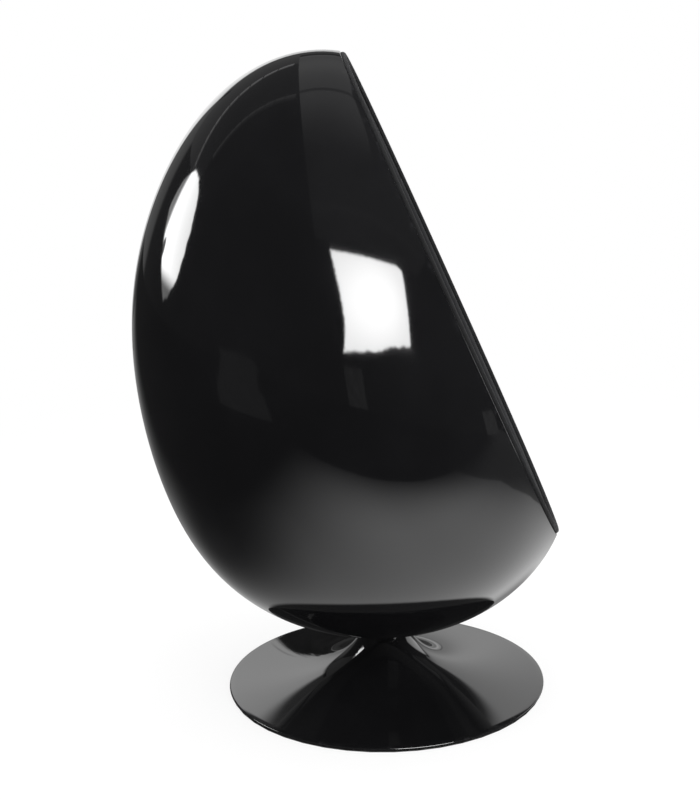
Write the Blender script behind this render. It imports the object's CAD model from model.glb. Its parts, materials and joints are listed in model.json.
"""The looks of the pod armchair: a gloss black egg, cut open at the front and upholstered in
charcoal cloth, on a black trumpet foot. Metres, +Z up, the opening faces -Y, and the swivel axis
is the Z axis."""

import json
import math

import bmesh
import bpy
from mathutils import Matrix, Vector


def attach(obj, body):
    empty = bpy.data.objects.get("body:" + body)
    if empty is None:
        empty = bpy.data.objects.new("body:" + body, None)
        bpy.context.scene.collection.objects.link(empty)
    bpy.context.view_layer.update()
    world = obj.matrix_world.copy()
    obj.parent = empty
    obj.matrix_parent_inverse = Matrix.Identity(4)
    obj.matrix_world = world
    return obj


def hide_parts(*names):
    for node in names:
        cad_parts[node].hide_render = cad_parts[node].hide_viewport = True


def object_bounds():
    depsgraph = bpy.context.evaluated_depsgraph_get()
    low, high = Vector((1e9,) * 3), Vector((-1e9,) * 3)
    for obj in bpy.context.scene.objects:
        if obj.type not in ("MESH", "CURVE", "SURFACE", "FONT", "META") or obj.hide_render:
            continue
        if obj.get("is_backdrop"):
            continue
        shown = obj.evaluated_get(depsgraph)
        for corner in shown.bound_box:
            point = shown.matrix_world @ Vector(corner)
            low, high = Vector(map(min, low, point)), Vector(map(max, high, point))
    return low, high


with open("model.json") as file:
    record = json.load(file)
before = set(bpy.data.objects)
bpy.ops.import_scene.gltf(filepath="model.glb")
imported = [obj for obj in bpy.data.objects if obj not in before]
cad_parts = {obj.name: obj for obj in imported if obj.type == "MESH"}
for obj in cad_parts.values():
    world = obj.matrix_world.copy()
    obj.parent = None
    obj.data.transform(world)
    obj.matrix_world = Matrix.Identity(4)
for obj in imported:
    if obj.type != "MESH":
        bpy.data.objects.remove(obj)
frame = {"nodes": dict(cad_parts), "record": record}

cad_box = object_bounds()

# The pod, as the solids have it, but for the opening's place, the lining's setback and the trim's
# height, which follow the photograph. Outer and inner are distances in from the egg's outside.
POD_LENGTH = 1.155
POD_WIDTH = 0.848
POD_DEPTH = 0.803
POD_LEAN = math.radians(12.9)
POD_BOW = 0.027  # the axis runs this far forward at its ends, and back in the middle
POD_FULLNESS = (0.136, 0.0527, -0.0091, -0.0082, -0.01)
POD_FOOT = Vector((0, -0.071582, 0.144528))  # the lower end of the axis
OPENING_LEAN = math.radians(23.25)
OPENING_CENTRE = Vector((0, -0.136591, 0.806587))
SHELL_WALL = 0.0055
LIP_BEVEL = 0.0012
LINING_OUTER = 0.0058
LINING_INNER = 0.0308
BATTEN_INNER = 0.0151
BATTEN_FRONT = 0.0046
BATTEN_BACK = 0.0235
LINING_SETBACK = 0.0002
LINING_SEAM = 0.0014
FRONT_SEAM = 1.240549  # a bearing, and so is the next
BACK_SEAM = 2.434734
SEAM_ROUNDING = 0.012  # a panel is drawn in over this width beside a seam
SEAM_DEPTH = 0.008
MIDDLE_SLIT = 0.002  # between the two front panels, as a turn round the opening
ROW_CROWDING = 1.2  # larger: a panel's rows lie closer together towards the crown
ROLL_RADIUS = 0.0135  # the lining's rounded edge at the opening
ROLL_INNER = 0.016
ROLL_OUTER = 0.009
TRIM_WIDTH = 0.014
TRIM_HEIGHT = 0.0075
TRIM_INSET = 0.0035
TRIM_SQUARENESS = 0.7
FIT = 0.0003
LANDING_TOP = 0.14225
LANDING_RADIUS = 0.0412
HUB_HOLE_RADIUS = 0.03
CUTTER_BOTTOM = 0.1
HUB_CUTTER_TOP = 0.16
SUPPORT_TOP = 0.2895
SUPPORT_HOLLOW_RADIUS = 0.124
SUPPORT_HOLLOW_TOP = 0.2083
SEAT_CENTRE = 0.01839
SEAT_BOTTOM = 0.2898
SEAT_EDGE_TOP = 0.4018
SEAT_FRONT_SETBACK = 0.014
CUSHION_INSET = 0.0347
CUSHION_VOXEL = 0.008
SEAT_EASE = 0.002  # the seat pillow is cut this much lower, and blown up
SEAT_CROWN = 0.026
SEAT_SWELL_BELOW = 0.007
SEAT_STEPS = 120
BACK_CENTRE = 0.6823
BACK_WIDTH = 0.52
BACK_HEIGHT = 0.56
BACK_CROWN = 0.024
BACK_CORNERS = 0.45  # smaller: squarer corners
BACK_FRONT = 0.27  # from here back, the back cushion stands on the seat cushion
BACK_STEPS = 112
PIPING_RADIUS = 0.0042
PIPING_SIDES = 10
PIPING_STEPS = 160
STITCH_LENGTH = 0.0046
STITCH_GAP = 0.0034
STITCH_THREAD = 0.0011
STITCH_ASIDE = 0.0095  # from its seam to a row of stitches
ROW_START = 0.02  # a row of stitches, in stations above the seat and below the crown
ROW_END = 0.16
ROW_STEP = 0.004

# The foot.
BASE_RADIUS = 0.32
BASE_EDGE_HEIGHT = 0.009
COVER_WALL = 0.004
COVER_EDGE = 0.0026
COVER_BOTTOM = 0.0027
GASKET_INSIDE = 0.3054
NECK_RADIUS = 0.0405
NECK_INSIDE = 0.0365
NECK_TOP = 0.13855
FLARE = 0.7  # larger: the trumpet opens later and faster

TURN = 2 * math.pi
UP = Vector((0, 0, 1))
WHITE = (1.0, 1.0, 1.0)
SIDEWAYS = Vector((1, 0, 0))
AXIS = Vector((0, math.sin(POD_LEAN), math.cos(POD_LEAN)))
FORWARD = Vector((0, -math.cos(POD_LEAN), math.sin(POD_LEAN)))
OPENING = Vector((0, -math.cos(OPENING_LEAN), math.sin(OPENING_LEAN)))
OPENING_UP = Vector((0, math.sin(OPENING_LEAN), math.cos(OPENING_LEAN)))
OPENING_FRAME = Matrix((SIDEWAYS, OPENING_UP, OPENING)).transposed()


# The camera of the photograph.

def set_camera(place, ahead, right, up, lens):
    """Sets up the camera, with its lens in millimetres."""
    data = bpy.data.cameras.new("camera")
    data.sensor_width = 36
    data.lens = lens
    data.clip_start = 0.05
    data.clip_end = 100
    camera = bpy.data.objects.new("camera", data)
    turned = Matrix((right, up, -ahead)).transposed().to_4x4()
    camera.matrix_world = Matrix.Translation(place) @ turned
    bpy.context.scene.collection.objects.link(camera)
    bpy.context.scene.camera = camera


set_camera(
    Vector((-3.697233, 0.143053, 1.699355)),
    Vector((0.95854252, -0.02102169, -0.28417305)),
    Vector((-0.02814332, -0.99938327, -0.02100075)),
    Vector((0.28355633, -0.02812769, 0.95854298)),
    88.617,
)


# The egg. A station runs along its axis from 0 below to pi above, a bearing round it from 0 in
# front, and an inset is a distance in from its outside.

def raw_girth(station):
    waves = sum(share * math.cos((k + 1) * station) for k, share in enumerate(POD_FULLNESS))
    return (1 + waves) * math.sin(station)


GIRTH_STEPS = 720
FULLEST = max(raw_girth(math.pi * k / GIRTH_STEPS) for k in range(GIRTH_STEPS))


def girth(station):
    """How wide the egg is at a station, as a share of its fullest width."""
    return raw_girth(station) / FULLEST


def bow(station):
    """How far forward the bowed axis runs at a station."""
    return POD_BOW * math.cos(2 * station)


def egg_point(station, bearing, inset):
    """The place at a station and a bearing."""
    along = inset + (POD_LENGTH / 2 - inset) * (1 - math.cos(station))
    across = (POD_DEPTH / 2 - inset) * girth(station) * math.cos(bearing) + bow(station)
    side = (POD_WIDTH / 2 - inset) * girth(station) * math.sin(bearing)
    return POD_FOOT + AXIS * along + FORWARD * across + SIDEWAYS * side


def share_along(place, inset):
    """How far along the egg a place lies, from 0 below to 2 above."""
    return (place.dot(AXIS) - inset) / (POD_LENGTH / 2 - inset)


def share_ahead(place, station, inset):
    """How far forward of the axis a place lies, as a share of half the depth."""
    return (place.dot(FORWARD) - bow(station)) / (POD_DEPTH / 2 - inset)


def outside_egg(point, inset):
    """Over 0 outside the egg, under 0 inside it."""
    place = point - POD_FOOT
    share = share_along(place, inset)
    if not 0 < share < 2:
        return 1
    station = math.acos(1 - share)
    front = share_ahead(place, station, inset)
    return math.hypot(front, place.x / (POD_WIDTH / 2 - inset)) - girth(station)


def halve(holds, low, high, times):
    """Closes in on the place where a test that holds at low stops holding, from both sides."""
    for _ in range(times):
        middle = (low + high) / 2
        if holds(middle):
            low = middle
        else:
            high = middle
    return low, high


def reach(start, way, inset, far=POD_LENGTH):
    """How far it is from a point inside the egg to its skin."""
    return halve(lambda run: outside_egg(start + way * run, inset) < 0, 0, far, times=34)[0]


def opening_way(turn, tilt):
    """A direction from the opening's centre: turn goes round from the top, tilt goes back."""
    rim = OPENING_UP * math.cos(turn) + SIDEWAYS * math.sin(turn)
    return rim * math.cos(tilt) - OPENING * math.sin(tilt)


# Making pieces.

def finished(name, bm, body=None, slot=None, stands_for=(), smooth=True):
    """Makes an object of a mesh, with a body and a finish where these are given."""
    mesh = bpy.data.meshes.new(name)
    for face in bm.faces:
        face.smooth = smooth
    bm.to_mesh(mesh)
    bm.free()
    piece = bpy.data.objects.new(name, mesh)
    bpy.context.scene.collection.objects.link(piece)
    if body:
        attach(piece, body)
        mesh.materials.append(FINISHES[slot])
    if stands_for:
        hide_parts(*stands_for)
    return piece


def settle(piece):
    """Makes a piece's modifiers part of its mesh."""
    graph = bpy.context.evaluated_depsgraph_get()
    mesh = bpy.data.meshes.new_from_object(piece.evaluated_get(graph))
    piece.modifiers.clear()
    piece.data = mesh


def verts_of(made):
    """The points that an extrusion made."""
    return [v for v in made["geom"] if isinstance(v, bmesh.types.BMVert)]


def skin(rings, loop_closed=False):
    """A circle of points, set on the first ring and extruded from ring to ring."""
    bm = bmesh.new()
    count = len(rings[0])
    verts = bmesh.ops.create_circle(bm, segments=count, radius=1, cap_ends=False)["verts"]
    for vert, place in zip(verts, rings[0]):
        vert.co = place
    order = {vert: k for k, vert in enumerate(verts)}
    edges = bm.edges[:]
    first = edges
    for ring in rings[1:]:
        made = bmesh.ops.extrude_edge_only(bm, edges=edges)
        fresh = set(verts_of(made))
        ahead = {}
        for vert in fresh:
            others = (e.other_vert(vert) for e in vert.link_edges)
            ahead[vert] = next(order[other] for other in others if other in order)
        for vert, k in ahead.items():
            vert.co = ring[k]
        edges = [
            e for e in made["geom"]
            if isinstance(e, bmesh.types.BMEdge) and e.verts[0] in fresh and e.verts[1] in fresh
        ]
        order = ahead
    if loop_closed:
        bmesh.ops.bridge_loops(bm, edges=first + edges)
    else:
        for end in (first, edges):
            ends = bmesh.ops.edgeloop_fill(bm, edges=end)["faces"]
            bmesh.ops.poke(bm, faces=ends)
    bmesh.ops.recalc_face_normals(bm, faces=bm.faces[:])
    return bm


def turned(outline, steps):
    """A closed outline of radius and height, spun round the Z axis."""
    bm = bmesh.new()
    verts = [bm.verts.new((r, 0, z)) for r, z in outline]
    for a, b in zip(verts, verts[1:] + verts[:1]):
        bm.edges.new((a, b))
    bmesh.ops.spin(
        bm, geom=bm.verts[:] + bm.edges[:], cent=(0, 0, 0), axis=(0, 0, 1), dvec=(0, 0, 0),
        angle=TURN, steps=steps, use_merge=True, use_duplicate=False,
    )
    bmesh.ops.remove_doubles(bm, verts=bm.verts[:], dist=1e-6)
    bmesh.ops.recalc_face_normals(bm, faces=bm.faces[:])
    return bm


def cutter(name, radius, top):
    """A cylinder round the swivel axis, to cut with."""
    bm = bmesh.new()
    bmesh.ops.create_cone(
        bm, cap_ends=True, segments=96, radius1=radius, radius2=radius, depth=top - CUTTER_BOTTOM,
        matrix=Matrix.Translation((0, 0, (top + CUTTER_BOTTOM) / 2)),
    )
    return finished(name, bm, smooth=False)


def cut(piece, *tools):
    """Cuts the tools out of a piece, and removes them."""
    for tool in tools:
        modifier = piece.modifiers.new("cut", "BOOLEAN")
        modifier.operation = "DIFFERENCE"
        modifier.solver = "EXACT"
        modifier.object = tool
    settle(piece)
    for tool in tools:
        bpy.data.objects.remove(tool)


# Finishes.

class Value:
    """An output socket that Python's operators add Math nodes to."""

    def __init__(self, paint, socket):
        self.paint = paint
        self.socket = socket

    def __add__(self, other):
        return self.paint.maths("ADD", self, other)

    def __sub__(self, other):
        return self.paint.maths("SUBTRACT", self, other)

    def __rsub__(self, other):
        return self.paint.maths("SUBTRACT", other, self)

    def __mul__(self, other):
        return self.paint.maths("MULTIPLY", self, other)

    def __truediv__(self, other):
        return self.paint.maths("DIVIDE", self, other)

    def __pow__(self, other):
        return self.paint.maths("POWER", self, other)

    __radd__ = __add__
    __rmul__ = __mul__


class Paint:
    """The nodes of one material or of the world."""

    def __init__(self, owner):
        owner.use_nodes = True
        self.owner = owner
        self.tree = owner.node_tree
        self.tree.nodes.clear()

    def node(self, kind, settings=None, sockets=None, out=0):
        """Adds a node, feeds its sockets and gives one of its outputs."""
        made = self.tree.nodes.new("ShaderNode" + kind)
        for name, setting in (settings or {}).items():
            setattr(made, name, setting)
        for name, given in (sockets or {}).items():
            socket = made.inputs[name]
            if isinstance(given, Value):
                self.tree.links.new(given.socket, socket)
            elif socket.type == "RGBA":
                socket.default_value = (*given, 1)
            else:
                socket.default_value = given
        return Value(self, made.outputs[out]) if len(made.outputs) else None

    def maths(self, operation, *given):
        return self.node("Math", {"operation": operation}, dict(enumerate(given)))

    def place(self):
        return self.node("TexCoord", out="Object")

    def uv(self):
        return self.node("TexCoord", out="UV")

    def parts(self, vector):
        split = self.node("SeparateXYZ", sockets={0: vector}).socket.node
        return [Value(self, socket) for socket in split.outputs]

    def radius(self, across, up):
        return self.maths("SQRT", across ** 2.0 + up ** 2.0)

    def scaled(self, vector, factors):
        return self.node("Mapping", {"vector_type": "POINT"}, {"Vector": vector, "Scale": factors})

    def noise(self, vector, scale, detail, roughness=0.55, distortion=0.0):
        return self.node("TexNoise", {"noise_dimensions": "3D"}, {
            "Vector": vector, "Scale": scale, "Detail": detail, "Roughness": roughness,
            "Distortion": distortion,
        })

    def rough(self, vector, scale, detail, amount, roughness=0.55):
        """Noise of the given amount, to both sides of 0."""
        return (self.noise(vector, scale, detail, roughness) - 0.5) * amount

    def cells(self, vector, scale, randomness):
        return self.node("TexVoronoi", {"feature": "F1"}, {
            "Vector": vector, "Scale": scale, "Randomness": randomness,
        }, out="Distance")

    def step(self, value, low, high, bottom=0.0, top=1.0):
        """Runs smoothly from bottom to top as the value goes from low to high."""
        return self.node("MapRange", {"interpolation_type": "SMOOTHSTEP"}, {
            "Value": value, "From Min": low, "From Max": high, "To Min": bottom, "To Max": top,
        })

    def mix(self, factor, low, high):
        return self.node("Mix", {"data_type": "RGBA"}, {0: factor, 6: low, 7: high}, out=2)

    def bump(self, height, distance, strength, below=None):
        sockets = {"Height": height, "Distance": distance, "Strength": strength}
        if below:
            sockets["Normal"] = below
        return self.node("Bump", sockets=sockets)

    def shade(self, **sockets):
        """Ends a material in a principled shader."""
        named = {}
        for name, given in sockets.items():
            named[name.replace("_", " ").title().replace("Ior", "IOR")] = given
        shader = self.node("BsdfPrincipled", sockets=named)
        self.node("OutputMaterial", sockets={"Surface": shader})


def paint(name):
    return Paint(bpy.data.materials.new(name))


def finish(name, add_nodes, *settings):
    p = paint(name)
    add_nodes(p, p.place(), *settings)
    return p.owner


def black_gloss(p, place, colour, ripple, wear, edge):
    """Polished black: a moulded skin's long ripple, faint polishing marks and a rubbed edge."""
    waves = p.noise(place, 9.0, 2.0)
    peel = p.noise(place, 160.0, 2.0)
    haze = p.noise(place, 4.0, 5.0, 0.6)
    dust = p.step(p.noise(place, 900.0, 2.0), 0.74, 0.82)
    scuffs = p.step(p.noise(p.scaled(place, (40.0, 3.0, 3.0)), 12.0, 3.0, 0.6), 0.66, 0.8)
    rubbed = edge(p, place) * p.step(p.noise(place, 70.0, 5.0, 0.65), 0.5, 0.68)
    tone = p.mix(p.step(haze, 0.35, 0.7), colour, tuple(1.35 * c for c in colour))
    tone = p.mix(rubbed * 0.6, tone, tuple(4 * c for c in colour))
    rough = 0.05 + p.step(haze, 0.3, 0.8) * 0.03 + (dust + scuffs) * wear + rubbed * 0.1
    rippled = p.bump(waves, 0.001, ripple)
    p.shade(
        base_color=tone, roughness=rough, ior=1.5, coat_weight=1.0, coat_roughness=0.02,
        normal=p.bump(peel, 0.00001, 0.5, rippled),
    )


def near_lip(p, place):
    """1 at the lip of the opening, 0 from a centimetre behind it."""
    sockets = {0: place, 1: tuple(OPENING)}
    ahead = p.node("VectorMath", {"operation": "DOT_PRODUCT"}, sockets, out="Value")
    return p.step(ahead - OPENING_CENTRE.dot(OPENING), -0.01, -0.001)


def near_foot_edge(p, place):
    """1 at the rim of the foot, 0 from a centimetre inside it."""
    x, y, _ = p.parts(place)
    return p.step(p.radius(x, y), BASE_RADIUS - 0.012, BASE_RADIUS - 0.001)


def cloth(p, place, colour, pitch, sheen):
    """Charcoal wool cloth: a fine mottled weave with loose fibres."""
    fibres = p.noise(place, 900.0, 3.0, 0.7, 0.6)
    clumps = p.noise(place, 90.0, 4.0, 0.65)
    broad = p.noise(place, 5.0, 3.0)
    threads = p.cells(place, 1 / pitch, 0.55)
    light = tuple(2.0 * c for c in colour)
    dark = tuple(0.5 * c for c in colour)
    flecks = p.mix(p.step(fibres, 0.3, 0.72), dark, light)
    mottled = p.mix(p.step(clumps, 0.3, 0.75) * 0.55, flecks, colour)
    tone = p.mix(p.step(broad, 0.2, 0.8) * 0.35, mottled, light)
    grain = p.bump(threads + fibres * 0.8, 0.0006, 0.7)
    p.shade(
        base_color=tone, roughness=0.92 - p.step(threads, 0.0, 0.6) * 0.08, ior=1.45,
        specular_ior_level=0.15, sheen_weight=sheen, sheen_roughness=0.45,
        normal=p.bump(clumps, 0.0012, 0.5, grain),
    )


def metal(p, place, colour, roughness, stretch):
    """Machined steel: fine lathe lines and a little staining."""
    lines = p.noise(p.scaled(place, stretch), 60.0, 4.0, 0.6)
    stains = p.noise(place, 14.0, 5.0, 0.6)
    tone = p.mix(p.step(stains, 0.35, 0.75), colour, tuple(0.72 * c for c in colour))
    rough = roughness + lines * 0.15 + p.step(stains, 0.4, 0.8) * 0.1
    p.shade(base_color=tone, metallic=1.0, roughness=rough, normal=p.bump(lines, 0.0002, 0.4))


def plain(p, place, colour, other, scale, roughness, depth):
    """A dull moulded or cut material with a grain of the given scale."""
    grain = p.noise(place, scale, 5.0, 0.6)
    patches = p.noise(place, scale / 12, 3.0)
    tone = p.mix(p.step(grain, 0.3, 0.7), colour, other)
    p.shade(
        base_color=tone, roughness=roughness + p.step(patches, 0.3, 0.7) * 0.1,
        normal=p.bump(grain, depth, 0.6),
    )


def plies(p, place):
    """Birch plywood: pale and darker plies on the cut edge, long grain on the face."""
    layers = p.node("TexWave", {"wave_type": "BANDS", "bands_direction": "Z"}, {
        "Vector": place, "Scale": 110.0, "Distortion": 0.6, "Detail": 2.0,
    })
    grain = p.noise(p.scaled(place, (1.0, 14.0, 14.0)), 30.0, 5.0, 0.6, 0.4)
    tone = p.mix(p.step(layers, 0.3, 0.7), (0.5, 0.34, 0.19), (0.36, 0.22, 0.11))
    tone = p.mix(p.step(grain, 0.45, 0.75) * 0.5, tone, (0.3, 0.18, 0.09))
    p.shade(base_color=tone, roughness=0.65 + grain * 0.15, normal=p.bump(grain, 0.0004, 0.5))


LOOKS = {
    "shell_gloss": (black_gloss, (0.0042, 0.0042, 0.0046), 0.12, 0.015, near_lip),
    "foot_lacquer": (black_gloss, (0.005, 0.005, 0.0054), 0.05, 0.03, near_foot_edge),
    "trim_satin": (cloth, (0.0085, 0.0085, 0.009), 0.0016, 0.05),
    "charcoal_cloth": (cloth, (0.011, 0.011, 0.012), 0.0021, 0.05),
    "foam": (plain, (0.45, 0.4, 0.27), (0.36, 0.31, 0.2), 420.0, 0.9, 0.0008),
    "plywood": (plies,),
    "plate_steel": (metal, (0.33, 0.34, 0.36), 0.34, (1.0, 1.0, 30.0)),
    "bearing_steel": (metal, (0.5, 0.51, 0.53), 0.16, (6.0, 6.0, 60.0)),
    "zinc_steel": (metal, (0.48, 0.49, 0.48), 0.36, (3.0, 3.0, 12.0)),
    "nylon": (plain, (0.76, 0.74, 0.68), (0.7, 0.67, 0.6), 90.0, 0.45, 0.0002),
    "rubber": (plain, (0.014, 0.014, 0.014), (0.022, 0.022, 0.022), 260.0, 0.62, 0.0002),
    "felt": (plain, (0.02, 0.02, 0.02), (0.045, 0.045, 0.045), 600.0, 0.95, 0.001),
}
FINISHES = {slot: finish(slot, *look) for slot, look in LOOKS.items()}


# The pod shell: half a ball of directions from the opening's centre, pushed out to the egg's skin.

def pod_shell():
    bm = bmesh.new()
    bmesh.ops.create_uvsphere(bm, u_segments=192, v_segments=128, radius=1)
    bmesh.ops.delete(bm, geom=[v for v in bm.verts if v.co.z > 1e-4], context="VERTS")
    for vert in bm.verts:
        way = (OPENING_FRAME @ vert.co).normalized()
        vert.co = OPENING_CENTRE + way * reach(OPENING_CENTRE, way, 0)
    inner = verts_of(bmesh.ops.extrude_face_region(bm, geom=bm.faces[:], use_keep_orig=True))
    for vert in inner:
        way = (vert.co - OPENING_CENTRE).normalized()
        vert.co = OPENING_CENTRE + way * reach(OPENING_CENTRE, way, SHELL_WALL)
    bmesh.ops.recalc_face_normals(bm, faces=bm.faces[:])
    lip = [
        e for e in bm.edges
        if all(abs((v.co - OPENING_CENTRE).dot(OPENING)) < 1e-5 for v in e.verts)
        and e.calc_face_angle(0) > 0.5
    ]
    bmesh.ops.bevel(
        bm, geom=lip, offset=LIP_BEVEL, segments=4, profile=0.5, affect="EDGES", material=-1,
        clamp_overlap=True,
    )
    cut(
        finished("pod_shell_skin", bm, "pod", "shell_gloss", ["pod_shell"]),
        cutter("landing_cutter", LANDING_RADIUS, LANDING_TOP),
        cutter("hub_cutter", HUB_HOLE_RADIUS, HUB_CUTTER_TOP),
    )


# The foot: a trumpet spun from its outline.

def flare_height(radius):
    def swell(r):
        return (BASE_RADIUS / r) ** FLARE - 1

    return BASE_EDGE_HEIGHT + (NECK_TOP - BASE_EDGE_HEIGHT) * swell(radius) / swell(NECK_RADIUS)


def foot_outline():
    """Radius and height, from the gasket out to the rim, up to the neck and down inside."""
    lip = BASE_RADIUS - COVER_EDGE
    top = [lip * (NECK_RADIUS / lip) ** (k / 64) for k in range(65)]
    under = [NECK_INSIDE * (GASKET_INSIDE / NECK_INSIDE) ** (k / 40) for k in range(1, 40)]
    edge_top = flare_height(lip)
    outline = [(GASKET_INSIDE, COVER_BOTTOM), (lip, COVER_BOTTOM)]
    for degrees in range(-60, 75, 15):
        angle = math.radians(degrees)
        height = edge_top - COVER_EDGE + COVER_EDGE * math.sin(angle)
        outline.append((lip + COVER_EDGE * math.cos(angle), height))
    outline += [(r, flare_height(r)) for r in top]
    outline.append((NECK_INSIDE, NECK_TOP))
    lowest = COVER_BOTTOM + 2 * FIT
    outline += [(r, max(flare_height(r + COVER_WALL) - COVER_WALL, lowest)) for r in under]
    return outline


def foot_cover():
    bm = turned(foot_outline(), steps=192)
    finished("foot_cover_skin", bm, "base", "foot_lacquer", ["foot_cover"])


# The welt and the batten behind it: sections carried round the opening.

def rim_ways(count):
    """Directions from the opening's centre to its edge, each with how far that is."""
    ways = []
    for k in range(count):
        way = opening_way(TURN * k / count, 0)
        ways.append((way, reach(OPENING_CENTRE, way, 0)))
    return ways


def rim_trim():
    """The bead on the edge of the opening."""
    ways = rim_ways(360)
    rings = []
    steps = 20
    for k in range(steps + 1):
        angle = math.pi * k / steps
        inward = TRIM_INSET + TRIM_WIDTH / 2 * (1 - math.cos(angle))
        height = FIT + TRIM_HEIGHT * math.sin(angle) ** TRIM_SQUARENESS
        rings.append([
            OPENING_CENTRE + way * (far - inward) + OPENING * height for way, far in ways
        ])
    finished("rim_welt", skin(rings, loop_closed=True), "pod", "trim_satin", ["rim_trim"])


def rim_batten():
    """The wooden ring that the welt and the cloth are fixed to."""
    ways = rim_ways(240)
    outer, inner, back = LINING_OUTER, BATTEN_INNER - FIT, BATTEN_BACK - 2 * FIT
    section = [(outer, BATTEN_FRONT), (inner, BATTEN_FRONT), (inner, back), (outer, back)]
    rings = []
    for inward, behind in section:
        ring = []
        for way, far in ways:
            along = way - OPENING * (behind / far)
            ring.append(OPENING_CENTRE + along * reach(OPENING_CENTRE, along, inward, far=1.5))
        rings.append(ring)
    bm = skin(rings, loop_closed=True)
    finished("rim_batten_ring", bm, "pod", "plywood", ["rim_batten"], smooth=False)


# The lining: gores that meet at the crown, drawn in at their seams and rounded over at the opening.

def drawn_in(distance, radius=SEAM_ROUNDING, depth=SEAM_DEPTH):
    """How far a panel is rounded back at a distance from its edge."""
    if distance >= radius:
        return 0
    return depth * (1 - math.sqrt(max(0, 1 - (1 - distance / radius) ** 2)))


def gore(name, at, columns, rows):
    """A closed panel. at(u, v) gives its place by the inset, how far it is drawn in, and the inset
    of its back."""
    bm = bmesh.new()
    bmesh.ops.create_grid(bm, x_segments=columns, y_segments=rows, size=1)
    across = bm.verts.layers.float.new("across")
    along = bm.verts.layers.float.new("along")
    for vert in bm.verts:
        vert[across] = (vert.co.x + 1) / 2
        vert[along] = (vert.co.y + 1) / 2
    made = bmesh.ops.extrude_face_region(bm, geom=bm.faces[:], use_keep_orig=True)
    behind = set(verts_of(made))
    for vert in bm.verts:
        place, drawn, hidden = at(vert[across], vert[along])
        vert.co = place(hidden if vert in behind else LINING_INNER - drawn)
    bmesh.ops.remove_doubles(bm, verts=bm.verts[:], dist=1e-5)
    bmesh.ops.dissolve_degenerate(bm, edges=bm.edges[:], dist=1e-6)
    bmesh.ops.recalc_face_normals(bm, faces=bm.faces[:])
    finished(name + "_gore", bm, "pod", "charcoal_cloth", [name])


def lowest_station(bearing):
    """Where a bearing's line leaves the firm foam under the seat."""
    def under_seat(station):
        return egg_point(station, bearing, LINING_INNER).z < SEAT_BOTTOM

    return halve(under_seat, 0.05, 2.0, times=30)[1]


def side_gore(name, start, end):
    """A panel between two bearings, from the foam up to the crown."""
    slit = LINING_SEAM / POD_WIDTH

    def at(u, v):
        spread = (1 - math.cos(math.pi * u)) / 2
        bearing = start + slit + (end - start - 2 * slit) * spread
        low = lowest_station(bearing)
        station = low + (math.pi - low) * (1 - (1 - v) ** ROW_CROWDING)
        radius = POD_WIDTH / 2 * girth(station)
        nearest = min(bearing - start, end - bearing) * radius

        def place(inset):
            return egg_point(station, bearing, inset)

        return place, drawn_in(nearest), LINING_OUTER + FIT

    gore(name, at, columns=44, rows=90)


def seam_tilt(turn, seam):
    """How far back from the opening the front gore reaches, to its seam or to the foam."""
    def in_front(tilt):
        way = opening_way(turn, tilt)
        point = OPENING_CENTRE + way * reach(OPENING_CENTRE, way, LINING_INNER)
        place = point - POD_FOOT
        station = math.acos(1 - min(max(share_along(place, LINING_INNER), 0), 2))
        ahead = share_ahead(place, station, LINING_INNER)
        bearing = math.atan2(abs(place.x) / (POD_WIDTH / 2 - LINING_INNER), ahead)
        return bearing < seam and point.z > SEAT_BOTTOM

    return halve(in_front, 0.0, math.pi / 2, times=26)[0]


def front_gore(name, side):
    """Half of the collar behind the opening: side is 1 for the sitter's left, -1 for the right."""
    tilts = {}
    steepness = {}

    def at(u, v):
        turn = side * (MIDDLE_SLIT + (math.pi - 2 * MIDDLE_SLIT) * u)
        if turn not in tilts:
            tilts[turn] = seam_tilt(turn, FRONT_SEAM - LINING_SEAM / POD_WIDTH)
            rim = opening_way(turn, 0)
            inset = 0.01
            run = reach(OPENING_CENTRE, rim, 0) - reach(OPENING_CENTRE, rim, inset)
            steepness[turn] = inset / run
        spread = (1 - math.cos(math.pi * v)) / 2
        tilt = tilts[turn] * spread
        way = opening_way(turn, tilt)
        middle = reach(OPENING_CENTRE, way, LINING_INNER)
        behind = middle * math.sin(tilt)
        ahead = middle * (tilts[turn] - tilt)
        across = abs(middle * math.sin(turn))
        rolled = drawn_in(behind, ROLL_RADIUS, LINING_INNER - ROLL_INNER * steepness[turn])
        drawn = max(rolled, drawn_in(ahead), drawn_in(across))
        hidden = LINING_OUTER + FIT
        if behind < BATTEN_FRONT - 0.001:
            hidden = max(hidden, ROLL_OUTER * steepness[turn])
        elif behind < BATTEN_BACK:
            hidden = BATTEN_INNER + FIT
        shift = OPENING * -LINING_SETBACK

        def place(inset):
            out = way * reach(OPENING_CENTRE, way, inset)
            return OPENING_CENTRE + out + shift * math.cos(tilt)

        return place, drawn, hidden

    gore(name, at, columns=110, rows=40)


def lining():
    side_gore("lining_back", BACK_SEAM, TURN - BACK_SEAM)
    side_gore("lining_side_left", FRONT_SEAM, BACK_SEAM)
    side_gore("lining_side_right", TURN - BACK_SEAM, TURN - FRONT_SEAM)
    front_gore("lining_front_left", 1)
    front_gore("lining_front_right", -1)


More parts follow.
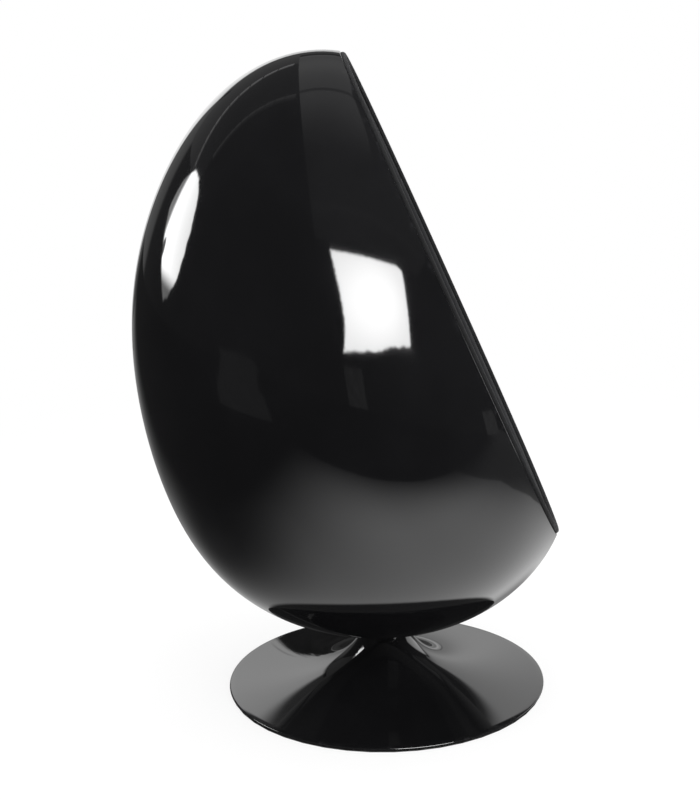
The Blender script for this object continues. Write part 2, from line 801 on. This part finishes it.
def seam_row(bearing, aside):
    """A row of stitches beside a seam: a function that gives a place and the way out of the cloth
    by the distance along the row, and None past its end."""
    lowest = lowest_station(bearing) + ROW_START
    highest = math.pi - ROW_END
    points = []
    travelled = 0
    for k in range(int((highest - lowest) / ROW_STEP) + 1):
        station = lowest + k * ROW_STEP
        turn = bearing + aside / (POD_WIDTH / 2 * girth(station))
        place = egg_point(station, turn, LINING_INNER - drawn_in(abs(aside)))
        inner = egg_point(station, turn, LINING_INNER + 0.01)
        if points:
            travelled += (place - points[-1][1]).length
        points.append((travelled, place, (inner - place).normalized()))

    def at(distance):
        for before, after in zip(points, points[1:]):
            if after[0] >= distance:
                share = (distance - before[0]) / (after[0] - before[0])
                out = before[2].lerp(after[2], share).normalized()
                return before[1].lerp(after[1], share), out
        return None

    return at


def seam_stitches():
    """Stitches along both sides of the seams that run up to the crown."""
    rows = [
        seam_row(bearing, aside)
        for bearing in (FRONT_SEAM, BACK_SEAM, TURN - BACK_SEAM, TURN - FRONT_SEAM)
        for aside in (-STITCH_ASIDE, STITCH_ASIDE)
    ]
    bm = bmesh.new()
    for row in rows:
        here = row(0)
        distance = 0
        while True:
            distance += STITCH_LENGTH + STITCH_GAP
            ahead = row(distance)
            if ahead is None:
                break
            (place, out), (after, _) = here, ahead
            along = (after - place).normalized()
            side = along.cross(out).normalized()
            half = along * STITCH_LENGTH / 2
            axes = Matrix((half, side * STITCH_THREAD / 2, out * STITCH_THREAD / 2)).transposed()
            middle = Matrix.Translation(place + half + out * STITCH_THREAD * 0.15)
            bmesh.ops.create_icosphere(bm, subdivisions=1, radius=1, matrix=middle @ axes.to_4x4())
            here = ahead
    finished("seam_stitches", bm, "pod", "charcoal_cloth")


# The firm foam under the seat.

def seat_support():
    """The egg's bottom, cut off level and hollow over the swivel."""
    bm = bmesh.new()
    bmesh.ops.create_uvsphere(bm, u_segments=96, v_segments=60, radius=1)
    for vert in bm.verts:
        station = math.acos(max(-1, min(1, -vert.co.z)))
        bearing = math.atan2(vert.co.x, -vert.co.y)
        vert.co = egg_point(station, bearing, LINING_OUTER + FIT)
    made = bmesh.ops.bisect_plane(
        bm, geom=bm.verts[:] + bm.edges[:] + bm.faces[:], dist=1e-6,
        plane_co=(0, 0, SUPPORT_TOP), plane_no=(0, 0, 1), clear_outer=True,
    )
    edges = [e for e in made["geom_cut"] if isinstance(e, bmesh.types.BMEdge)]
    bmesh.ops.edgeloop_fill(bm, edges=edges)
    bmesh.ops.recalc_face_normals(bm, faces=bm.faces[:])
    block = finished("seat_foam", bm, "pod", "foam", ["seat_support"], smooth=False)
    cut(block, cutter("foam_cutter", SUPPORT_HOLLOW_RADIUS, SUPPORT_HOLLOW_TOP))


# The cushions: cut a little small, then blown up as cloth, with their seams held.

SWELLING = {
    "quality": 6, "mass": 0.3, "tension_stiffness": 18, "compression_stiffness": 18,
    "shear_stiffness": 12, "bending_stiffness": 0.6, "use_pressure": True,
    "uniform_pressure_force": 4, "vertex_group_mass": "held",
}
SWELLING_FRAMES = 20


def swell(piece, places, held):
    """Blows a piece up as cloth under pressure."""
    group = piece.vertex_groups.new(name="held")
    for k, place in enumerate(places):
        group.add([k], held(place), "REPLACE")
    cloth_modifier = piece.modifiers.new("swell", "CLOTH")
    for name, setting in SWELLING.items():
        setattr(cloth_modifier.settings, name, setting)
    cloth_modifier.settings.effector_weights.gravity = 0
    cloth_modifier.collision_settings.use_collision = False
    for k in range(SWELLING_FRAMES):
        bpy.context.scene.frame_set(k + 1)
    settle(piece)
    bpy.context.scene.frame_set(1)


def blown(piece, cap, held, clear):
    """Remeshes a piece, blows it up and smooths it. held(place) is 1 at a seam, cap(place) is how
    far a point may go, and clear(place) moves a point out of what is next to it."""
    remesh = piece.modifiers.new("remesh", "REMESH")
    remesh.mode = "VOXEL"
    remesh.voxel_size = CUSHION_VOXEL
    settle(piece)
    before = [v.co.copy() for v in piece.data.vertices]
    swell(piece, before, held)
    for vert, start in zip(piece.data.vertices, before):
        move = vert.co - start
        most = cap(start)
        if move.length > most:
            move *= most / move.length
        vert.co = clear(start + move)
    finer = piece.modifiers.new("finer", "SUBSURF")
    finer.levels = finer.render_levels = 1
    settle(piece)
    for face in piece.data.polygons:
        face.use_smooth = True


def soft_lesser(a, b):
    """The lesser of two lengths, run smoothly into the other."""
    return (a ** -10 + b ** -10) ** -0.1


def seat_reach(angle, height):
    """How far out the seat cushion reaches, short of the lining and of the opening."""
    start = Vector((0, SEAT_CENTRE, height))
    way = Vector((math.sin(angle), -math.cos(angle), 0))
    wall = reach(start, way, CUSHION_INSET)
    facing = OPENING.dot(way)
    if facing <= 0:
        return wall
    room = (OPENING_CENTRE - start).dot(OPENING) - SEAT_FRONT_SETBACK
    return soft_lesser(wall, room / facing)


def seat_loop(share, height, count=SEAT_STEPS):
    """A ring of the seat cushion's outline."""
    ring = []
    for k in range(count):
        angle = TURN * k / count
        out = share * seat_reach(angle, height)
        ring.append(Vector((out * math.sin(angle), SEAT_CENTRE - out * math.cos(angle), height)))
    return ring


def piping(name, loop):
    """A cord in its cloth round a cushion's seam."""
    count = len(loop)
    centre = sum(loop, Vector()) / count
    rings = []
    for s in range(PIPING_SIDES):
        angle = TURN * s / PIPING_SIDES
        ring = []
        for k, place in enumerate(loop):
            along = (loop[(k + 1) % count] - loop[k - 1]).normalized()
            out = place - centre
            out = (out - along * out.dot(along)).normalized()
            over = along.cross(out)
            across, up = PIPING_RADIUS * math.cos(angle), PIPING_RADIUS * math.sin(angle)
            ring.append(place + out * across + over * up)
        rings.append(ring)
    finished(name, skin(rings, loop_closed=True), "pod", "charcoal_cloth")


def seat_cushion():
    top, bottom = SEAT_EDGE_TOP - SEAT_EASE, SEAT_BOTTOM + SEAT_EASE
    heights = [(0.9, SEAT_BOTTOM), (0.955, SEAT_BOTTOM + 0.001), (0.972, bottom + 0.006)]
    heights += [(0.978, bottom + (top - bottom) * k / 6) for k in range(1, 6)]
    heights += [(0.972, top - 0.006), (0.955, top - 0.001), (0.9, top)]
    rings = [seat_loop(share, height) for share, height in heights]
    piece = finished("seat_pillow", skin(rings), "pod", "charcoal_cloth", ["seat_cushion"])

    def held(place):
        if place.z < SEAT_BOTTOM + 0.004:
            return 1.0
        angle = math.atan2(place.x, SEAT_CENTRE - place.y)
        out = math.hypot(place.x, place.y - SEAT_CENTRE)
        edge = out > 0.93 * seat_reach(angle, place.z)
        return 1.0 if edge and place.z > top - 0.008 else 0.0

    def cap(place):
        return SEAT_CROWN if place.z > top - 0.004 else SEAT_SWELL_BELOW

    def clear(place):
        if place.y > BACK_FRONT and place.z > SEAT_EDGE_TOP:
            place.z = SEAT_EDGE_TOP
        return place

    blown(piece, cap, held, clear)
    piping("seat_piping_top", seat_loop(0.968, top - 0.001, PIPING_STEPS))
    piping("seat_piping_bottom", seat_loop(0.962, bottom + 0.003, PIPING_STEPS))


def back_point(across, height, depth):
    """A point of the back cushion, measured along the lining, up and forward."""
    start = Vector((0, 0, BACK_CENTRE + height))
    turn = across / (POD_WIDTH / 2)
    way = Vector((math.sin(turn), math.cos(turn), 0))
    return start + way * (reach(start, way, LINING_INNER) - depth)


def back_ring(share, depth, count=BACK_STEPS):
    """A ring of the back cushion's outline, a rectangle with round corners."""
    ring = []
    for k in range(count):
        angle = TURN * k / count
        across, height = (
            math.copysign(abs(f(angle)) ** BACK_CORNERS, f(angle)) for f in (math.sin, math.cos)
        )
        across, height = share * BACK_WIDTH * across / 2, share * BACK_HEIGHT * height / 2
        ring.append(back_point(across, height, depth))
    return ring


def lining_over(place, inset):
    """The axis point level with a place, and from there the way to it and how far the lining is."""
    level = Vector((0, 0, place.z))
    out = Vector((place.x, place.y, 0))
    return level, out, reach(level, out.normalized(), inset)


def back_cushion():
    seam = 0.034
    layers = [
        (0.5, 0.004), (0.86, 0.005), (0.95, 0.014), (0.985, 0.026), (0.99, seam),
        (0.985, 0.042), (0.95, 0.054), (0.86, 0.066), (0.7, 0.072), (0.45, 0.076),
    ]
    rings = [back_ring(share, depth) for share, depth in layers]
    piece = finished("back_pillow", skin(rings), "pod", "charcoal_cloth", ["back_cushion"])

    def held(place):
        _, out, far = lining_over(place, LINING_INNER)
        depth = far - out.length
        if depth < 0.008:
            return 1.0
        turn = math.atan2(place.x, place.y) * POD_WIDTH / 2
        edge = max(abs(turn) / (BACK_WIDTH / 2), abs(place.z - BACK_CENTRE) / (BACK_HEIGHT / 2))
        return 1.0 if edge > 0.95 and 0.026 < depth < 0.042 else 0.0

    def clear(place):
        level, out, most = lining_over(place, LINING_INNER + 2 * FIT)
        if out.length > most:
            place = level + out * (most / out.length)
        return place

    blown(piece, lambda place: BACK_CROWN, held, clear)
    piping("back_piping", back_ring(0.988, seam, PIPING_STEPS))


# The studio: flat shapes for the gloss to show, lamps, a pale floor and a dim room.

def emission(name, level, cover=None):
    """A material that gives off light. level and cover build its nodes; it is clear at cover 0."""
    p = paint(name)
    surface = p.node("Emission", sockets={"Color": WHITE, "Strength": level(p)})
    if cover:
        clear = p.node("BsdfTransparent")
        surface = p.node("MixShader", sockets={0: cover(p), 1: clear, 2: surface})
    p.node("OutputMaterial", sockets={"Surface": surface})
    return p.owner


def first_seen(p):
    """1 in a reflection, and less in a reflection of a reflection."""
    return p.step(p.node("LightPath", out="Ray Depth"), 1.2, 1.8, 1.0, 0.15)


def card(name, centre, right, up, width, height, level, cover=None):
    """A flat shape that only gloss sees."""
    right, up = Vector(right), Vector(up)
    bm = bmesh.new()
    bmesh.ops.create_grid(bm, x_segments=1, y_segments=1, size=0.5, calc_uvs=False)
    ways = Matrix((right * width, up * height, right.cross(up))).transposed()
    layer = bm.loops.layers.uv.new("UVMap")
    for face in bm.faces:
        for corner in face.loops:
            corner[layer].uv = (corner.vert.co.x + 0.5, corner.vert.co.y + 0.5)
    for vert in bm.verts:
        vert.co = Vector(centre) + ways @ vert.co
    made = finished(name, bm, smooth=False)
    made.data.materials.append(emission(name, level, cover))
    made.visible_camera = made.visible_diffuse = made.visible_shadow = False
    made.visible_transmission = False
    made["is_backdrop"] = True


# What the cards show: levels, and covers that give them their outlines.

def main_window(p):
    """A tall window: its left side bows in, its foot is uneven and one upper corner is rounded."""
    u, v, _ = p.parts(p.uv())
    ragged = p.rough(p.uv(), 22.0, 3.0, 0.03)
    foot = p.rough(p.scaled(p.uv(), (1.0, 0.0, 0.0)), 4.0, 2.0, 0.16)
    left = u - v * (1 - v) * (1.3 - v) * 0.26 + ragged
    right = 1 - u - (v - 0.5) ** 2.0 * 0.1 + ragged
    top = 1 - v - u * (1 - u) * 0.14 - p.step(u, 0.82, 1.0) * 0.06 + ragged
    sides = p.step(left, 0.0, 0.03) * p.step(right, 0.0, 0.05)
    shape = sides * p.step(v + foot + ragged, 0.0, 0.05) * p.step(top, 0.0, 0.04)
    return shape * p.step(p.radius(u - 0.45, v - 0.5), 0.15, 0.6, 13.0, 10.5) * first_seen(p)


def back_lamp(p):
    """A lamp that is greyer at one side and at its foot, with a dark patch near that side."""
    u, v, _ = p.parts(p.uv())
    patch = p.radius(u - 0.33, (v - 0.31) / 1.3)
    level = (0.8 + p.step(u, 0.17, 0.3) * 6.0) * p.step(v, 0.12, 0.26, 0.1, 1.0)
    return level * p.step(patch, 0.045, 0.07, 0.06, 1.0) * first_seen(p)


def back_lamp_shape(p):
    """A ragged disc with one corner cut off."""
    u, v, _ = p.parts(p.uv())
    rough = p.rough(p.uv(), 5.0, 4.0, 0.1)
    out = p.radius(u - 0.5, v - 0.5) + rough
    corner = p.step(u * 0.74 + v + rough, 0.5, 0.56)
    return p.step(out, 0.5, 0.47) * corner


def backdrop(p):
    """A paper sweep behind the chair, brighter at its upper left and highest in the middle."""
    u, v, _ = p.parts(p.uv())
    level = 0.66 + p.step(u, 0.33, 0.12) * p.step(v, 0.25, 0.65) * 0.34
    top = 0.86 + p.step(u, 0.15, 0.5) * 0.075 - p.step(u, 0.55, 0.75) * 0.06
    sides = p.step(u, 0.75, 1.0, 1.0, 0.4) * p.step(u, 0.0, 0.04)
    ends = p.step(v - top, 0.045, -0.045, 0.08, 1.0) * p.step(v, 0.0, 0.38, 0.4, 1.0)
    return level * sides * ends * first_seen(p)


def front_box(p):
    """A broad lamp with soft edges, in front of the chair."""
    u, v, _ = p.parts(p.uv())
    rough = p.rough(p.uv(), 22.0, 3.0, 0.1)
    sides = p.step(u, 0.0, 0.15) * p.step(1 - u, 0.0, 0.15)
    ends = p.step(v + rough, 0.0, 0.2) * p.step(1 - v, 0.0, 0.2)
    return sides * ends * 1.2 * first_seen(p)


def faint(level, spread, scale=4.0):
    """Something dull in the dark of the room, a little mottled."""
    return lambda p: p.noise(p.uv(), scale, 3.0) * spread + level


def torn(p):
    """An upright shape with ragged sides and top."""
    u, v, _ = p.parts(p.uv())
    rough = p.rough(p.uv(), 9.0, 5.0, 0.3, 0.7)
    sides = p.step(p.maths("ABSOLUTE", u - 0.5) + rough, 0.5, 0.44)
    return sides * p.step(1 - v + rough, 0.02, 0.1)


def board_shape(p):
    """A board that leans, with uneven edges."""
    u, v, _ = p.parts(p.uv())
    rough = p.rough(p.uv(), 3.0, 3.0, 0.3)
    sides = p.step(u + v * 0.2 + rough, 0.95, 0.88) * p.step(u - v * 0.15 + rough, 0.02, 0.08)
    return sides * p.step(1 - v + rough, 0.0, 0.1)


def ceiling(p):
    """A dim ceiling with one lit panel, crossed by a beam, and with a lighter one past it."""
    x, y, _ = p.parts(p.place())
    right = p.step(y - p.maths("MINIMUM", x, 0.3) * 0.44, -0.66, -0.6)
    ends = p.step(x, -0.95, 0.15) * p.step(x, 2.4, 0.9, 0.4, 1.0)
    panel = p.step(y, 0.43, 0.41) * right * ends
    beam = p.step(p.maths("ABSOLUTE", x - 0.23), 0.05, 0.02)
    lighter = p.step(p.maths("ABSOLUTE", x + 1.77), 0.1, 0.04)
    return (0.055 + panel * 0.17) * (1 - (beam + lighter * -0.5) * 0.5)


def rail(low, high):
    """A row of dim tubes along the ceiling, brighter along one side."""
    def level(p):
        u, v, _ = p.parts(p.uv())
        tubes = p.step(p.maths("FRACT", u * 12.0), 0.03, 0.14)
        tubes = tubes * p.step(p.noise(p.uv(), 3.0, 1.0), 0.3, 0.5, 0.6, 1.0)
        across = p.step(p.maths("ABSOLUTE", v - 0.5), 0.5, 0.35) * p.step(v, 0.2, 0.9, low, high)
        return 0.04 + tubes * across
    return level


def far_ceiling(p):
    """The ceiling behind the chair, a little lighter past each row of tubes."""
    x, y, _ = p.parts(p.place())
    first = p.step(x - (y - 0.45) * 0.33, 0.12, 0.2)
    second = p.step(x - (y - 0.45) * 0.143, 1.68, 1.78)
    return 0.025 + first * 0.02 + second * 0.035


def lamp(name, place, aim, width, height, watts):
    """A lamp that lights what is dull, and that nothing mirrors."""
    data = bpy.data.lights.new(name, "AREA")
    data.shape = "RECTANGLE"
    data.size = width
    data.size_y = height
    data.energy = watts
    made = bpy.data.objects.new(name, data)
    made.location = place
    made.rotation_euler = (Vector(aim) - Vector(place)).to_track_quat("-Z", "Y").to_euler()
    made.visible_camera = made.visible_glossy = made.visible_transmission = False
    bpy.context.scene.collection.objects.link(made)


def by_ray(p, mirrored, spilled):
    """1 for the camera's rays, else 0; and a level, 1 to them and otherwise as given."""
    rays = p.node("LightPath").socket.node.outputs
    kinds = ("Is Camera Ray", "Is Glossy Ray", "Is Transmission Ray")
    camera, glossy, through = (Value(p, rays[kind]) for kind in kinds)
    gloss = p.maths("MAXIMUM", glossy, through)
    return camera, camera + (1 - camera) * (gloss * mirrored + (1 - gloss) * spilled)


def pool(p, x, y):
    """The floor as the gloss shows it: lit out to the paper's edges, with shade round the foot."""
    wrinkle = p.rough(p.place(), 3.0, 3.0, 0.12)
    near = p.step(x, -2.4, -1.0) * p.step(x + wrinkle, -2.18, -2.1)
    spread = p.maths("MAXIMUM", x, 0.0) * 0.4 + p.maths("MAXIMUM", -0.42 - x, 0.0) * 0.15
    past = p.maths("MAXIMUM", x + 0.75, 0.0)
    sides = p.step(y - spread, 1.1, -0.35) * p.step(y - past * 0.3, -2.9, -0.7, 0.2, 1.0)
    paper = p.step(y - past + wrinkle, -2.5, -2.4, 0.4, 1.0)
    beside = p.step(p.radius((x + 0.05) / 0.75, (y - 0.8) / 0.65), 0.2, 1.1, 0.15, 1.0)
    beneath = p.step(p.radius((x - 0.25) / 0.35, (y + 0.1) / 0.42), 0.6, 1.05, 0.3, 1.0)
    behind = p.step(p.radius((x - 0.6) / 0.45, (y - 0.12) / 0.16), 0.7, 1.1, 0.05, 1.0)
    against = p.step(p.radius(x + 0.06, y), 0.322, 0.345, 0.03, 1.0)
    shade = beside * beneath * behind * against
    lit = near * sides * paper * shade * p.step(x, -0.1, 0.9, 0.98, 0.3)
    return 0.015 + lit * first_seen(p)


def floor():
    """White to the camera but for a soft shadow, a pool of light to gloss, plain to the rest."""
    bm = bmesh.new()
    bmesh.ops.create_circle(bm, cap_ends=True, segments=128, radius=9)
    made = finished("floor", bm, smooth=False)
    p = paint("pale_floor")
    x, y, _ = p.parts(p.place())
    away = p.radius(x, y)
    camera, level = by_ray(p, pool(p, x, y), p.step(away, 0.1, 0.9, 0.25, 0.75))
    glow = p.node("Emission", sockets={"Color": WHITE, "Strength": level})
    shaded = p.node("BsdfDiffuse", sockets={"Color": (0.86, 0.86, 0.86)})
    share = 1 - camera * p.step(away, 0.9, 2.4, 0.15, 0.0)
    both = p.node("MixShader", sockets={0: share, 1: shaded, 2: glow})
    p.node("OutputMaterial", sockets={"Surface": both})
    made.data.materials.append(p.owner)
    made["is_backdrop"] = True


def studio():
    """The room as the gloss shows it: dark, with a pale backdrop straight behind the chair."""
    world = bpy.data.worlds.new("studio")
    bpy.context.scene.world = world
    p = Paint(world)
    x, _, z = p.parts(p.node("TexCoord", out="Generated"))
    behind = p.step(x, 0.78, 0.84) * p.step(z, 0.4, 0.2) * 0.09
    _, level = by_ray(p, 0.022 + behind, 0.45)
    back = p.node("Background", sockets={"Color": WHITE, "Strength": level})
    p.node("OutputWorld", sockets={"Surface": back})


def rail_card(name, start, end, width, level):
    """A card along the ceiling, from start to end."""
    start, end = Vector(start), Vector(end)
    along = (end - start).normalized()
    card(name, (start + end) / 2, along, along.cross(UP), (end - start).length, width, level)


def lights():
    card(
        "window_card", (-3.784, -2.017, 2.254), Vector((-0.105, -0.986, 0.132)).normalized(),
        Vector((0.536, 0.056, 0.842)).normalized(), 3.987, 1.939, main_window,
    )
    card(
        "back_lamp_card", (0.59, 1.8, 1.28), (-1, 0, 0), UP, 1.06, 1.04,
        back_lamp, back_lamp_shape,
    )
    card("backdrop_card", (2.6, -0.66, 1.0), (0, -1, 0), UP, 3.88, 2.0, backdrop)
    card("low_box_card", (1.0, 0.07, 0.13), (0, -1, 0), UP, 0.46, 0.3, faint(0.0, 0.03, 6.0), torn)
    card("ceiling_card", (0.25, -1.6, 2.6), (1, 0, 0), (0, -1, 0), 5.5, 4.0, ceiling)
    rail_card("rail_card_1", (1.7, 0.45, 2.58), (2.15, 3.6, 2.58), 0.24, rail(0.14, 0.4))
    rail_card("rail_card_2", (0.14, 0.45, 2.58), (0.85, 2.6, 2.58), 0.14, rail(0.02, 0.13))
    card("far_ceiling_card", (3.0, 2.2, 2.61), (1, 0, 0), (0, 1, 0), 6.0, 3.6, far_ceiling)
    card(
        "leaning_board_card", (-1.76, 2.35, 0.37), (-0.81, -0.58, 0), UP, 1.8, 0.74,
        faint(0.045, 0.03), board_shape,
    )
    card("front_box_card", (1.3, -2.6, 0.7), (-0.894, -0.447, 0), UP, 2.6, 1.1, front_box)
    card("stand_card", (-1.03, -4.05, 0.45), (-1, 0, 0), UP, 0.6, 0.28, faint(0.04, 0.2), torn)
    card("tripod_card", (-3.0, -0.3, 0.74), (0, -1, 0), UP, 0.5, 0.48, faint(0.03, 0.12), torn)
    lamp("key", (-2.9, -1.6, 2.2), (0, 0, 0.7), 2.4, 1.4, 90)
    lamp("front", (0.5, -3.3, 1.5), (0, 0, 0.75), 2.4, 1.8, 70)
    lamp("top", (0.3, 0.2, 3.4), (0, 0, 0), 3.0, 3.0, 120)
    lamp("fill", (-1.0, 3.0, 1.6), (0, 0, 0.7), 2.0, 2.0, 40)


pod_shell()
foot_cover()
rim_trim()
rim_batten()
lining()
seam_stitches()
seat_support()
seat_cushion()
back_cushion()

slot_of_node = {row["node"]: row["material_slot"] for row in frame["record"]["subparts"]}
for node, piece in frame["nodes"].items():
    piece.data.materials.clear()
    piece.data.materials.append(FINISHES[slot_of_node[node]])

floor()
studio()
lights()
bpy.context.scene.view_settings.view_transform = "Standard"

for low, high in (cad_box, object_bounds()):
    json.dumps([list(low), list(high)])
